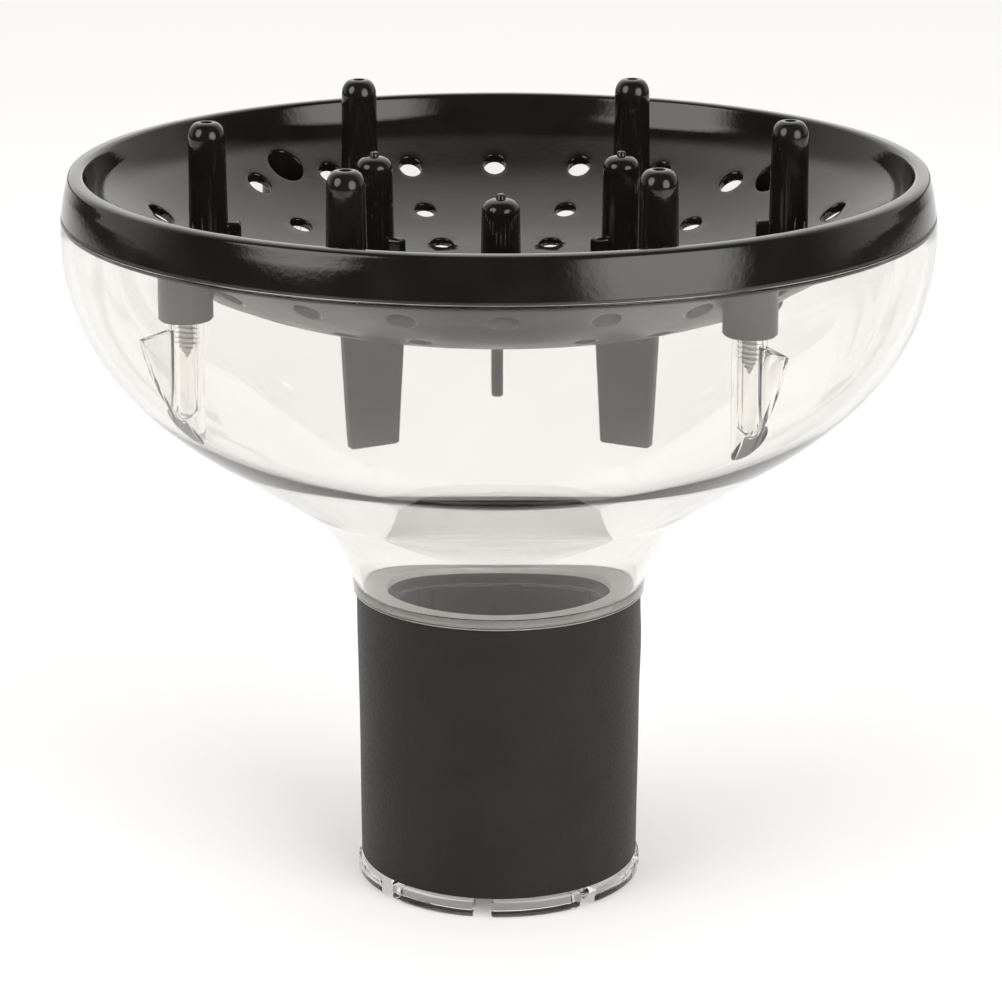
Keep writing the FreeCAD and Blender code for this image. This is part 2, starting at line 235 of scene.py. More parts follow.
class Shell:
    """The points, faces and face marks of one closed mesh."""

    def __init__(self):
        self.points = []
        self.faces = []
        self.marks = []

    def ring(self, points):
        first = len(self.points)
        self.points += [tuple(p) for p in points]
        return list(range(first, len(self.points)))

    def face(self, corners, mark):
        self.faces.append(tuple(corners))
        self.marks.append(mark)

    def band(self, a, b, mark=0):
        for i in range(len(a)):
            j = (i + 1) % len(a)
            self.face((a[i], a[j], b[j], b[i]), mark)

    def bands(self, rings, mark=0):
        for a, b in zip(rings, rings[1:]):
            self.band(a, b, mark)

    def cap(self, ring, point, mark=0):
        tip = self.ring([point])[0]
        for i in range(len(ring)):
            self.face((ring[i], ring[(i + 1) % len(ring)], tip), mark)

    def sheet(self, outline, holes, inner, height, mark=0):
        """Triangles between an outline and its holes, through the inner points, at height(x, y)."""
        inner_ids = self.ring([(x, y, height(x, y)) for x, y in inner])
        ids = outline + [i for hole in holes for i in hole] + inner_ids
        where = {index: place for place, index in enumerate(ids)}
        flat = [Vector(self.points[i][:2]) for i in ids]
        edges = []
        for loop in [outline] + holes:
            edges += [(where[a], where[b]) for a, b in zip(loop, loop[1:] + loop[:1])]
        made = delaunay_2d_cdt(flat, edges, [], 0, 1e-6)
        triangles = np.array([[ids[made[3][corner][0]] for corner in face] for face in made[2]])
        plan = np.array([p[:2] for p in self.points])
        middles = plan[triangles].mean(axis=1)
        keep = inside(plan[outline], middles)
        for hole in holes:
            keep &= ~inside(plan[hole], middles)
        for triangle in triangles[keep]:
            self.face([int(i) for i in triangle], mark)


def inside(polygon, points):
    """Which points lie in a polygon, by counting the edges to their right."""
    found = np.zeros(len(points), bool)
    near = np.ones(len(points), bool)
    for axis in (0, 1):
        near &= (points[:, axis] >= polygon[:, axis].min()) & (points[:, axis] <= polygon[:, axis].max())
    chosen = points[near]
    odd = np.zeros(len(chosen), bool)
    for (x0, y0), (x1, y1) in zip(polygon, np.roll(polygon, -1, axis=0)):
        if y0 == y1:
            continue
        spans = (chosen[:, 1] > y0) != (chosen[:, 1] > y1)
        odd ^= spans & (chosen[:, 0] < x0 + (chosen[:, 1] - y0) * (x1 - x0) / (y1 - y0))
    found[near] = odd
    return found


def circle(radius, z, count=SEGMENTS):
    turn = 2 * math.pi / count
    return [(radius * math.cos(turn * i), radius * math.sin(turn * i), z) for i in range(count)]


def polar(radius, angle):
    a = math.radians(angle)
    return radius * math.cos(a), radius * math.sin(a)


def loop(centre, radius, height, count=48):
    """A level or draped circle: height is a number or a function of x and y."""
    points = []
    for i in range(count):
        x, y = polar(radius, 360.0 * i / count)
        x, y = x + centre[0], y + centre[1]
        points.append((x, y, height(x, y) if callable(height) else height))
    return points


def above(surface, gap):
    return lambda x, y: surface(x, y) + gap


def roundover(rounding, steps=4):
    """How far out and how deep each ring of a rounded edge lies, from the face into the hole."""
    turns = [math.pi / 2 * i / steps for i in range(steps + 1)]
    return [(rounding * (1 - math.sin(t)), rounding * (1 - math.cos(t))) for t in turns]


def make_object(name, shell, materials, sharp=32.0):
    """A smooth-shaded mesh object in metres, sharp only at strong edges."""
    mesh = bpy.data.meshes.new(name)
    mesh.from_pydata([[c * MM for c in p] for p in shell.points], [], shell.faces)
    mesh.polygons.foreach_set("material_index", shell.marks)
    made = bpy.data.objects.new(name, mesh)
    bpy.context.scene.collection.objects.link(made)
    for material in materials:
        mesh.materials.append(material)
    smooth(mesh, sharp)
    return made


def smooth(mesh, sharp):
    work = bmesh.new()
    work.from_mesh(mesh)
    bmesh.ops.recalc_face_normals(work, faces=work.faces)
    work.to_mesh(mesh)
    work.free()
    mesh.polygons.foreach_set("use_smooth", [True] * len(mesh.polygons))
    mesh.set_sharp_from_angle(angle=math.radians(sharp))
    mesh.update()


def spun_object(name, profile, materials, count=SEGMENTS):
    """A closed ring-shaped solid from a closed profile."""
    shell = Shell()
    rings = [shell.ring(circle(r, z, count)) for r, z in profile]
    shell.bands(rings + rings[:1])
    return make_object(name, shell, materials)


def combine(target, other, operation):
    """A boolean of two closed meshes. The second one is used up."""
    modifier = target.modifiers.new(operation, "BOOLEAN")
    modifier.operation = operation
    modifier.solver = "EXACT"
    modifier.object = other
    graph = bpy.context.evaluated_depsgraph_get()
    mesh = bpy.data.meshes.new_from_object(target.evaluated_get(graph))
    target.modifiers.clear()
    target.data = mesh
    bpy.data.objects.remove(other)


# Materials


def new_material(name):
    material = bpy.data.materials.new(name)
    material.use_nodes = True
    nodes, links = material.node_tree.nodes, material.node_tree.links
    return material, nodes, links, nodes["Principled BSDF"]


def add_noise(nodes, links, scale, detail=3.0, stretch=(1, 1, 1)):
    place = nodes.new("ShaderNodeTexCoord")
    mapping = nodes.new("ShaderNodeMapping")
    mapping.inputs["Scale"].default_value = stretch
    noise = nodes.new("ShaderNodeTexNoise")
    noise.inputs["Scale"].default_value = scale
    noise.inputs["Detail"].default_value = detail
    links.new(place.outputs["Object"], mapping.inputs["Vector"])
    links.new(mapping.outputs["Vector"], noise.inputs["Vector"])
    return noise.outputs["Fac"]


def spread(nodes, links, value, low, high):
    """Maps a noise's usual range, 0.3 to 0.7, to low and high."""
    ranged = nodes.new("ShaderNodeMapRange")
    for name, number in (("From Min", 0.3), ("From Max", 0.7), ("To Min", low), ("To Max", high)):
        ranged.inputs[name].default_value = number
    links.new(value, ranged.inputs["Value"])
    return ranged.outputs["Result"]


def vary_color(nodes, links, value, dark, light, socket):
    ramp = nodes.new("ShaderNodeValToRGB")
    ramp.color_ramp.elements[0].position = 0.35
    ramp.color_ramp.elements[1].position = 0.65
    ramp.color_ramp.elements[0].color = (*dark, 1)
    ramp.color_ramp.elements[1].color = (*light, 1)
    links.new(value, ramp.inputs["Fac"])
    links.new(ramp.outputs["Color"], socket)


def add_bump(nodes, links, shader, heights, distance):
    """Bumps on top of each other: heights are (output, strength) pairs."""
    normal = None
    for value, strength in heights:
        bump = nodes.new("ShaderNodeBump")
        bump.inputs["Strength"].default_value = strength
        bump.inputs["Distance"].default_value = distance
        links.new(value, bump.inputs["Height"])
        if normal:
            links.new(normal, bump.inputs["Normal"])
        normal = bump.outputs["Normal"]
    links.new(normal, shader.inputs["Normal"])


def black_gloss():
    """Polished black moulded plastic, with the faint waves of a moulding."""
    material, nodes, links, shader = new_material("black_gloss")
    cloud = add_noise(nodes, links, 90, 4)
    fine = add_noise(nodes, links, 900, 2)
    dark, light = (0.0066, 0.0053, 0.0045), (0.0098, 0.0080, 0.0068)
    vary_color(nodes, links, cloud, dark, light, shader.inputs["Base Color"])
    links.new(spread(nodes, links, cloud, 0.05, 0.13), shader.inputs["Roughness"])
    shader.inputs["IOR"].default_value = 1.53
    waves = add_noise(nodes, links, 38, 1)
    add_bump(nodes, links, shader, ((waves, 0.22), (fine, 0.03)), 0.0006)
    return material


def black_satin():
    """The unpolished back of the same moulding."""
    material, nodes, links, shader = new_material("black_satin")
    cloud = add_noise(nodes, links, 120, 4)
    dark, light = (0.024, 0.0195, 0.0165), (0.036, 0.0300, 0.0260)
    vary_color(nodes, links, cloud, dark, light, shader.inputs["Base Color"])
    links.new(spread(nodes, links, cloud, 0.30, 0.42), shader.inputs["Roughness"])
    shader.inputs["IOR"].default_value = 1.53
    add_bump(nodes, links, shader, ((cloud, 0.06),), 0.0002)
    return material


def clear_plastic():
    """Clear polycarbonate. Light that only casts shadows passes straight through it."""
    material, nodes, links, shader = new_material("clear_plastic")
    cloud = add_noise(nodes, links, 40, 3)
    flow = add_noise(nodes, links, 22, 2, (1, 1, 0.35))
    dark, light = (0.927, 0.917, 0.896), (0.950, 0.942, 0.924)
    vary_color(nodes, links, cloud, dark, light, shader.inputs["Base Color"])
    links.new(spread(nodes, links, cloud, 0.008, 0.030), shader.inputs["Roughness"])
    shader.inputs["Transmission Weight"].default_value = 1.0
    shader.inputs["IOR"].default_value = 1.50
    add_bump(nodes, links, shader, ((flow, 0.10),), 0.0006)
    clear = nodes.new("ShaderNodeBsdfTransparent")
    clear.inputs["Color"].default_value = (0.95, 0.94, 0.93, 1)
    ray = nodes.new("ShaderNodeLightPath")
    mix = nodes.new("ShaderNodeMixShader")
    links.new(ray.outputs["Is Shadow Ray"], mix.inputs["Fac"])
    links.new(shader.outputs["BSDF"], mix.inputs[1])
    links.new(clear.outputs["BSDF"], mix.inputs[2])
    links.new(mix.outputs["Shader"], nodes["Material Output"].inputs["Surface"])
    return material


def frosted_plastic():
    """The same clear plastic where the mould left it matt: the barrel's stop."""
    material, nodes, links, shader = new_material("frosted_plastic")
    cloud = add_noise(nodes, links, 300, 3)
    vary_color(nodes, links, cloud, (0.80, 0.775, 0.73), (0.90, 0.88, 0.85), shader.inputs["Base Color"])
    links.new(spread(nodes, links, cloud, 0.45, 0.60), shader.inputs["Roughness"])
    shader.inputs["Transmission Weight"].default_value = 0.25
    shader.inputs["IOR"].default_value = 1.50
    add_bump(nodes, links, shader, ((cloud, 0.1),), 0.0002)
    return material


def sleeve_rubber():
    material, nodes, links, shader = new_material("sleeve_rubber")
    cloud = add_noise(nodes, links, 70, 4)
    grain = add_noise(nodes, links, 1900, 3)
    dark, light = (0.0100, 0.0089, 0.0081), (0.0126, 0.0113, 0.0103)
    vary_color(nodes, links, cloud, dark, light, shader.inputs["Base Color"])
    links.new(spread(nodes, links, grain, 0.42, 0.56), shader.inputs["Roughness"])
    shader.inputs["Specular IOR Level"].default_value = 0.24
    waves = add_noise(nodes, links, 60, 2, (1, 1, 0.4))
    add_bump(nodes, links, shader, ((waves, 0.15), (grain, 0.30)), 0.0003)
    return material


def screw_steel():
    material, nodes, links, shader = new_material("screw_steel")
    cloud = add_noise(nodes, links, 400, 3)
    vary_color(nodes, links, cloud, (0.30, 0.28, 0.26), (0.52, 0.50, 0.47), shader.inputs["Base Color"])
    links.new(spread(nodes, links, cloud, 0.22, 0.40), shader.inputs["Roughness"])
    shader.inputs["Metallic"].default_value = 1.0
    add_bump(nodes, links, shader, ((add_noise(nodes, links, 3000, 2), 0.15),), 0.0001)
    return material


GLOSS = black_gloss()
SATIN = black_satin()
CLEAR = clear_plastic()
FROSTED = frosted_plastic()
RUBBER = sleeve_rubber()
STEEL = screw_steel()


# The plate

TOP_MARK, BACK_MARK = 0, 1

CREASE_REACH = CREASE_ROUND * math.tan(math.radians(-DISH_STEPS[0][1] / 2))
DISH_START = (CREASE_R + CREASE_REACH * math.sin(math.radians(WALL_LEAN)),
              CREASE_Z + CREASE_REACH * math.cos(math.radians(WALL_LEAN)))
LOW_START, LOW_STEPS = beside(DISH_START, WALL_HEADING, DISH_STEPS, SKIN)
dish_line = np.array(path(DISH_START, WALL_HEADING, DISH_STEPS, 0.4)[::-1])
low_line = np.array(path(LOW_START, WALL_HEADING, LOW_STEPS, 0.4)[::-1])


def upper(x, y):
    return float(np.interp(math.hypot(x, y), dish_line[:, 0], dish_line[:, 1]))


def lower(x, y):
    return float(np.interp(math.hypot(x, y), low_line[:, 0], low_line[:, 1]))


def rim_profile():
    """From the upper sheet's edge over the rim and back to the lower sheet's edge."""
    band_lean = math.tan(math.radians(BAND_LEAN))
    wall_lean = math.tan(math.radians(WALL_LEAN))
    wall_top_r = CREASE_R + wall_lean * (RIM_TOP - CREASE_Z)
    band_top_r = RIM_R - band_lean * (RIM_TOP - RIM_FOOT)
    back_r = CREASE_R + SKIN / math.cos(math.radians(WALL_LEAN))
    band_in_r = RIM_R - BAND
    dish = [tuple(p) for p in dish_line if p[0] > TOP_SHEET_R + 0.2]
    back = [tuple(p) for p in low_line if p[0] > LOW_SHEET_R + 0.2]
    inner_edge = rounded([dish[-1] + (0,), (wall_top_r, RIM_TOP, 0.9), (wall_top_r + 1.3, RIM_TOP, 0)])
    outer_edge = rounded([
        (band_top_r - 1.3, RIM_TOP, 0),
        (band_top_r, RIM_TOP - 0.1, 1.05),
        (band_top_r + band_lean * 2, RIM_TOP - 2.1, 0),
    ])
    band = []
    for i in range(1, 9):
        share = i / 9
        z = RIM_TOP - 2.1 + (RIM_FOOT + 1.5 - RIM_TOP) * share
        whole = (RIM_TOP - z) / (RIM_TOP - RIM_FOOT)
        bulge = BAND_BULGE * math.sin(math.pi * whole)
        band.append((band_top_r + band_lean * (RIM_TOP - z) + bulge, z))
    foot = rounded([
        band[-1] + (0,),
        (RIM_R, RIM_FOOT, 0.35),
        (band_in_r, RIM_FOOT, 0.3),
        (band_in_r - band_lean * (GROOVE_TOP - RIM_FOOT), GROOVE_TOP, 0.3),
        (back_r + wall_lean * (GROOVE_TOP - CREASE_Z), GROOVE_TOP, 0.2),
        back[-1] + (0,),
    ])
    start, end = (TOP_SHEET_R, upper(TOP_SHEET_R, 0)), (LOW_SHEET_R, lower(LOW_SHEET_R, 0))
    outside = outer_edge[1:-1] + band[:-1] + foot
    return [start] + dish[:-1] + inner_edge[:-1] + outside + back[-2::-1] + [end]


def air_hole(shell, centre, radius):
    """A hole through the plate with rounded edges. Returns its loops on the two faces."""
    down, up = [], []
    for out, deep in roundover(EDGE):
        down.append(shell.ring(loop(centre, radius + out, above(upper, -deep), HOLE_SEGMENTS)))
    for out, deep in roundover(EDGE):
        up.append(shell.ring(loop(centre, radius + out, above(lower, deep), HOLE_SEGMENTS)))
    shell.bands(down + up[::-1], TOP_MARK)
    return down[0], up[0]


def prong_ring(centre, inward, radius, height, inset):
    """A prong's cross-section. inset is how much is taken off the rib's outline, or None above it."""
    fine = [-26.0 + 2.6 * i for i in range(21)]
    coarse = [26.0 + 308.0 * i / 50 for i in range(1, 50)]
    points = []
    for offset in fine + coarse:
        turn = math.radians(offset)
        reach = radius
        if inset is not None and math.cos(turn) > 0:
            far = (RIB_REACH - inset) / math.cos(turn)
            wide = (RIB_HALF_WIDTH - inset) / max(abs(math.sin(turn)), 1e-6)
            reach = max(radius, min(far, wide))
        x, y = polar(reach, inward + offset)
        x, y = x + centre[0], y + centre[1]
        points.append((x, y, height(x, y) if callable(height) else height))
    return points


def prong(shell, angle, circle_r, tip_z, rib_top):
    """A prong with its rib from its loop on the dish to its tip, and its core from below."""
    centre = polar(circle_r, angle)
    inward = angle + 180.0
    shoulder_z = tip_z - SHOULDER_DROP
    taper = (PRONG_BASE_R - PRONG_SHOULDER_R) / (shoulder_z - PRONG_BASE_Z)
    foot_r = PRONG_SHOULDER_R + taper * (shoulder_z - upper(*centre))

    def section(z, inset=None):
        return prong_ring(centre, inward, PRONG_SHOULDER_R + taper * (shoulder_z - z), z, inset)

    rings = []
    for out, deep in roundover(PRONG_FILLET):
        rings.append(prong_ring(centre, inward, foot_r + out, above(upper, deep), -0.5 * out))
    first_z = upper(circle_r + foot_r + PRONG_FILLET, 0) + PRONG_FILLET + 0.3
    for z in (first_z, (first_z + rib_top - RIB_ROUND) / 2, rib_top - RIB_ROUND):
        rings.append(section(z, 0.0))
    for i in range(1, 6):
        turn = math.pi / 2 * i / 5
        rings.append(section(rib_top - RIB_ROUND * (1 - math.sin(turn)), RIB_ROUND * (1 - math.cos(turn))))
    for share in (0.005, 0.35, 0.7, 0.92, 1.0):
        rings.append(section(rib_top + (shoulder_z - rib_top) * share))
    for r, drop in tip_profile(tip_z == LONG_TOP):
        rings.append(prong_ring(centre, inward, r, tip_z - drop, None))
    made = [shell.ring(r) for r in rings]
    shell.bands(made, TOP_MARK)
    last_drop = tip_profile(tip_z == LONG_TOP)[-1][1]
    shell.cap(made[-1], (*centre, tip_z - last_drop), TOP_MARK)

    wide, narrow = CORE_RADII
    core_top = tip_z - CORE_DROP
    core = []
    for out, deep in roundover(EDGE, 3):
        core.append(shell.ring(loop(centre, wide + out, above(lower, deep), CORE_SEGMENTS)))
    for t in DOME_TURNS:
        z = core_top - narrow * (1 - math.sin(t))
        core.append(shell.ring(loop(centre, narrow * math.cos(t), z, CORE_SEGMENTS)))
    shell.bands(core, BACK_MARK)
    shell.cap(core[-1], (*centre, core_top), BACK_MARK)
    return made[0], core[0]


def tip_profile(dimpled):
    """Radius and drop of the rings over a prong's shoulder and tip."""
    if dimpled:
        tip_r, tip_drop = 1.45, 0.0
        tip = [(1.25, 0.03), (1.1, 0.16), (1.0, 0.38), (0.8, 0.62), (0.4, 0.7)]
    else:
        tip_r, tip_drop = 0.95, 0.95
        tip = [(0.86, 0.72), (0.82, 0.35), (0.66, 0.1), (0.35, 0.0)]
    rings = []
    for i in range(1, 9):
        turn = math.pi / 2 * i / 8
        r = tip_r + (PRONG_SHOULDER_R - tip_r) * math.cos(turn) ** 0.9
        rings.append((r, SHOULDER_DROP - (SHOULDER_DROP - tip_drop) * math.sin(turn)))
    return rings + tip


def screw_boss(shell, angle):
    """A boss under the plate with the well for the screw's head above it."""
    centre = polar(SCREW_CIRCLE, angle)
    rows = [(BOSS_R + out, above(lower, -deep)) for out, deep in roundover(EDGE, 3)]
    rows += [(BOSS_R, BOSS_FOOT + EDGE)]
    for deep, out in roundover(EDGE, 3)[::-1][1:]:
        rows.append((BOSS_R - EDGE + out, BOSS_FOOT + EDGE - deep))
    rows += [(SHANK_HOLE_R + 0.2, BOSS_FOOT), (SHANK_HOLE_R, BOSS_FOOT + 0.2)]
    rows += [(SHANK_HOLE_R, SEAT_Z - 0.2), (SHANK_HOLE_R + 0.2, SEAT_Z)]
    rows += [(WELL_R - 0.3, SEAT_Z), (WELL_R, SEAT_Z + 0.3)]
    marks = [BACK_MARK] * (len(rows) - 2)
    rim = [(WELL_R + out, above(upper, -deep)) for out, deep in roundover(EDGE)[::-1]]
    rows += rim
    rings = [shell.ring(loop(centre, r, height)) for r, height in rows]
    marks += [TOP_MARK] * (len(rings) - 1 - len(marks))
    for a, b, mark in zip(rings, rings[1:], marks):
        shell.band(a, b, mark)
    return rings[-1], rings[0]


def rounded_box_ring(angle, x0, x1, half, corner, height):
    """A level or draped rounded rectangle along a radius."""
    points = []
    for cx, cy, first in ((x1, half, 0), (x0, half, 90), (x0, -half, 180), (x1, -half, 270)):
        mx = cx - math.copysign(corner, cx - (x0 + x1) / 2)
        my = cy - math.copysign(corner, cy)
        for i in range(5):
            dx, dy = polar(corner, first + 22.5 * i)
            points.append((mx + dx, my + dy))
    longer = []
    for (ax, ay), (bx, by) in zip(points, points[1:] + points[:1]):
        count = max(1, round(math.hypot(bx - ax, by - ay) / 1.2))
        longer += [(ax + (bx - ax) * i / count, ay + (by - ay) * i / count) for i in range(count)]
    turn = math.radians(angle)
    c, s = math.cos(turn), math.sin(turn)
    placed = [(x * c - y * s, x * s + y * c) for x, y in longer]
    return [(x, y, height(x, y) if callable(height) else height) for x, y in placed]


def fin(shell, angle):
    """An air fin hanging from the plate's back, narrower at its foot."""
    root_z = lower(FIN_TOP_SPAN[0], 0)

    def section(z, inset, height=None):
        share = (FIN_TOP - z) / (FIN_TOP - FIN_BOTTOM)
        x0, x1 = (a + (b - a) * share for a, b in zip(FIN_TOP_SPAN, FIN_FOOT_SPAN))
        return x0 + inset, x1 - inset, FIN_HALF - inset, max(0.45 - inset, 0.15), height or z

    rows = [section(root_z, -out, above(lower, -deep)) for out, deep in roundover(0.4, 3)]
    rows += [section(root_z - 1 + (FIN_BOTTOM + 1 - root_z) * share, 0) for share in (0, 0.3, 0.6, 0.8)]
    rows += [section(FIN_BOTTOM + 0.35 - deep, 0.35 - out) for deep, out in roundover(0.35, 3)[::-1]]
    counts = len(rounded_box_ring(0, *rows[0]))
    made = [shell.ring(resampled(rounded_box_ring(angle, *row), counts)) for row in rows]
    shell.bands(made, BACK_MARK)
    middle = polar(sum(FIN_FOOT_SPAN) / 2, angle)
    shell.cap(made[-1], (*middle, FIN_BOTTOM), BACK_MARK)
    return made[0]


def resampled(points, count):
    """A closed loop with its points spread evenly, starting at the same one."""
    line = np.array(points + points[:1])
    run = np.r_[0, np.cumsum(np.linalg.norm(np.diff(line, axis=0), axis=1))]
    marks = np.linspace(0, run[-1], count, endpoint=False)
    return [tuple(np.interp(m, run, line[:, k]) for k in range(3)) for m in marks]


def sheet_points(shell, outline_r, loops, spacing):
    """Points for a sheet's inside: rings all the way in, clear of every loop."""
    plan = np.array([p[:2] for p in shell.points])
    found = [(0.0, 0.0)]
    radius = outline_r - 0.7
    while radius > 1.5:
        step = spacing if radius > 58 else 2.4
        count = SEGMENTS if radius > 58 else max(12, 12 * round(2 * math.pi * radius / (12 * step)))
        shift = (round(radius * 10) % 2) * math.pi / count
        found += [(radius * math.cos(shift + 2 * math.pi * i / count),
                   radius * math.sin(shift + 2 * math.pi * i / count)) for i in range(count)]
        radius -= step
    found = np.array(found)
    clear = np.ones(len(found), bool)
    for ring in loops:
        edge = plan[ring]
        clear &= ~inside(edge, found)
        gaps = np.full(len(found), np.inf)
        for corner in edge:
            gaps = np.minimum(gaps, np.hypot(*(found - corner).T))
        clear &= gaps > 0.45
    return [(float(x), float(y)) for x, y in found[clear]]


def finger_plate():
    shell = Shell()
    tops, backs = [], []
    for count, circle_r, phase, hole_r in AIR_HOLES:
        for i in range(count):
            top, back = air_hole(shell, polar(circle_r, phase + 360.0 * i / count), hole_r)
            tops.append(top)
            backs.append(back)
    for count, circle_r, phase, *heights in PRONG_RINGS:
        for i in range(count):
            top, back = prong(shell, phase + 360.0 * i / count, circle_r, *heights)
            tops.append(top)
            backs.append(back)
    for angle in SCREW_ANGLES:
        top, back = screw_boss(shell, angle)
        tops.append(top)
        backs.append(back)
    backs += [fin(shell, angle) for angle in FIN_ANGLES]

    profile = rim_profile()
    rings = [shell.ring(circle(r, z)) for r, z in profile]
    foot = max(range(len(profile)), key=lambda i: (profile[i][0], -profile[i][1]))
    shell.bands(rings[:foot + 1], TOP_MARK)
    shell.bands(rings[foot:], BACK_MARK)
    shell.sheet(rings[0], tops, sheet_points(shell, TOP_SHEET_R, tops, 1.0), upper, TOP_MARK)
    shell.sheet(rings[-1], backs, sheet_points(shell, LOW_SHEET_R, backs, 1.2), lower, BACK_MARK)
    made = make_object("finger_plate_look", shell, (GLOSS, SATIN))
    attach(made, "root")
    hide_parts("finger_plate")


# The bell


def bell_profile():
    """The bell's closed outline: down the outside, in at the foot, and up the inside."""
    start = (RIM_R, RIM_FOOT)
    outer = path(start, BELL_HEADING, BELL_STEPS, 1.1)
    inner_start, inner_steps = beside(start, BELL_HEADING, BELL_STEPS, -BELL_WALL)
    inner_steps[1] = INNER_UNDERSIDE
    point, heading = step_end(inner_start, BELL_HEADING, inner_steps[0])
    point, heading = step_end(point, heading, INNER_UNDERSIDE)
    flare_end, _ = step_end(point, heading, inner_steps[3])
    inner_steps[2] = ((flare_end[0] - NECK_R + BELL_WALL) / -math.cos(math.radians(heading)), 0)
    inner = path(inner_start, BELL_HEADING, inner_steps, 1.1)
    tongue_in, tongue_out = TONGUE
    wall_r = inner_start[0] + (inner_start[1] - FLANGE_Z) * math.tan(math.radians(90 + BELL_HEADING))
    foot = rounded([
        outer[-2] + (0,),
        (NECK_R, SLEEVE_TOP, 0.4),
        (SPIGOT_R, SLEEVE_TOP, 0.1),
        (SPIGOT_R, SPIGOT_FOOT, 0.2),
        (BARREL_R, SPIGOT_FOOT, 0.2),
        (BARREL_R, LEDGE_LOW, 0.2),
        (LEDGE_R, LEDGE_LOW, 0.25),
        (LEDGE_R, LEDGE_TOP, 0.35),
        (NECK_R - BELL_WALL, LEDGE_TOP, 0.6),
        inner[-4] + (0,),
    ])
    top = rounded([
        inner[3] + (0,),
        (wall_r, FLANGE_Z, 0.25),
        (tongue_in, FLANGE_Z, 0.25),
        (tongue_in, TONGUE_TOP, 0.15),
        (tongue_out, TONGUE_TOP, 0.15),
        (tongue_out, RIM_FOOT, 0.15),
        (RIM_R, RIM_FOOT, 0.3),
        outer[2] + (0,),
    ])
    return outer[3:-2] + foot + inner[-5:3:-1] + top


def post(angle):
    """A screw post with its gusset, trimmed inside the bell's wall."""
    shell = Shell()
    centre = (SCREW_CIRCLE, 0)
    bore = [(POST_BORE_R * math.cos(t), POST_BORE_FOOT + POST_BORE_R * (1 - math.sin(t)))
            for t in DOME_TURNS]
    rows = [(POST_R, POST_LOW), (POST_R, BOSS_FOOT - 0.32), (POST_R - 0.12, BOSS_FOOT - 0.12)]
    rows += [(POST_R - 0.3, BOSS_FOOT - 0.02), (POST_BORE_R + 0.2, BOSS_FOOT - 0.02)]
    rows += [(POST_BORE_R, BOSS_FOOT - 0.22)] + bore
    rings = [shell.ring(loop(centre, r, z, 64)) for r, z in rows]
    shell.bands(rings)
    shell.cap(rings[-1], (*centre, POST_BORE_FOOT))
    shell.cap(rings[0], (*centre, POST_LOW))
    tube = make_object("post_tube", shell, (CLEAR,))
    web = Shell()
    inner_x = SCREW_CIRCLE + POST_BORE_R + 0.6
    corner = 0.3
    rings = []
    for inset, drop in ((0, -1), (0, corner), (0.1, 0.1), (corner, 0)):
        ring = rounded_box_ring(0, inner_x + inset, RIM_R - inset, GUSSET_HALF - inset, 0.2, 0)
        sloped = []
        for x, y, _ in ring:
            share = (x - SCREW_CIRCLE) / (RIM_R - SCREW_CIRCLE)
            top = GUSSET_TOPS[0] + (GUSSET_TOPS[1] - GUSSET_TOPS[0]) * share
            sloped.append((x, y, POST_LOW if drop < 0 else top - drop))
        rings.append(web.ring(resampled(sloped, 48)))
    web.bands(rings)
    for ring in (rings[0], rings[-1]):
        middle = np.mean([web.points[i] for i in ring], axis=0)
        web.cap(ring, tuple(middle))
    gusset = make_object("post_gusset", web, (CLEAR,))
    combine(tube, gusset, "UNION")
    trim = Shell()
    start, steps = beside((RIM_R, RIM_FOOT), BELL_HEADING, BELL_STEPS[:2], -BELL_WALL / 2)
    profile = path(start, BELL_HEADING, steps, 1.0)
    rings = [trim.ring(circle(r, z, 256)) for r, z in profile]
    trim.bands(rings)
    trim.cap(rings[0], (0, 0, profile[0][1]))
    trim.cap(rings[-1], (0, 0, profile[-1][1]))
    combine(tube, make_object("post_trim", trim, (CLEAR,)), "INTERSECT")
    tube.rotation_euler.z = math.radians(angle)
    return tube


def clear_bell():
    bell = spun_object("clear_bell_look", bell_profile(), (CLEAR,))
    for angle in SCREW_ANGLES:
        combine(bell, post(angle), "UNION")
    smooth(bell.data, 30.0)
    bell.data.materials.append(FROSTED)
    for face in bell.data.polygons:
        x, y, z = (c / MM for c in face.center)
        if z > LEDGE_LOW - 0.1 and z < LEDGE_TOP + 0.1 and math.hypot(x, y) < NECK_R - BELL_WALL - 0.6:
            face.material_index = 1
    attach(bell, "root")
    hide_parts("clear_bell")


# Screws


